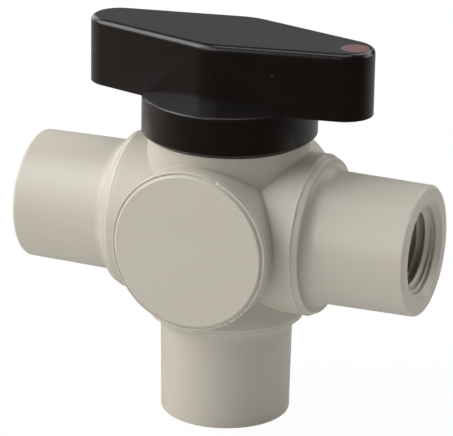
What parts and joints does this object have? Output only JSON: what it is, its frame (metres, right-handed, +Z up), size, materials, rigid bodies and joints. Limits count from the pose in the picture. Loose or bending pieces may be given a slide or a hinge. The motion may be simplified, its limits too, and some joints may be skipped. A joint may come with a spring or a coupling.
{
  "type": "three way valve",
  "caption": "Compact plastic three way ball valve: a lozenge grip on a round skirt turns an L-bored ball between the side ports and a bottom port.",
  "frame": {"origin": "centre of the bottom port's face, on the axis that the grip turns about", "axes": "+Z up along the stem, +X out through the right-hand port, -Y out through the front closing plug"},
  "size_m": [0.0642, 0.032, 0.0609],
  "materials": {
    "body_plastic": "satin",
    "handle_plastic": "satin gloss",
    "dot_plastic": "satin",
    "ball_plastic": "polished",
    "seat_plastic": "satin",
    "seal_rubber": "matte"
  },
  "bodies": {
    "housing": {"valve_body": "body_plastic", "end_socket_right": "body_plastic", "end_socket_left": "body_plastic", "end_socket_bottom": "body_plastic", "closing_plug_front": "body_plastic", "closing_plug_rear": "body_plastic", "seat_ring_right": "seat_plastic", "seat_ring_left": "seat_plastic", "seat_ring_bottom": "seat_plastic", "seat_ring_front": "seat_plastic", "seat_ring_rear": "seat_plastic", "seat_seal_right": "seal_rubber", "seat_seal_left": "seal_rubber", "seat_seal_bottom": "seal_rubber", "seat_seal_front": "seal_rubber", "seat_seal_rear": "seal_rubber", "thrust_washer": "seat_plastic"},
    "spindle": {"stem": "ball_plastic", "stem_seal_lower": "seal_rubber", "stem_seal_upper": "seal_rubber", "handle": "handle_plastic", "indicator_dot": "dot_plastic"},
    "flow_ball": {"ball": "ball_plastic"}
  },
  "joints": [
    {"name": "handle_turn", "type": "hinge", "parent": "housing", "child": "spindle", "pos_m": [0, 0, 0.0305], "axis": [0, 0, 1], "range_deg": [-177.7, 2.3]},
    {"name": "ball_turn", "type": "hinge", "parent": "housing", "child": "flow_ball", "pos_m": [0, 0, 0.0305], "axis": [0, 0, 1], "range_deg": [-177.7, 2.3]}
  ],
  "couplings": [
    {"joint": "ball_turn", "follows": "handle_turn", "ratio": 1}
  ]
}
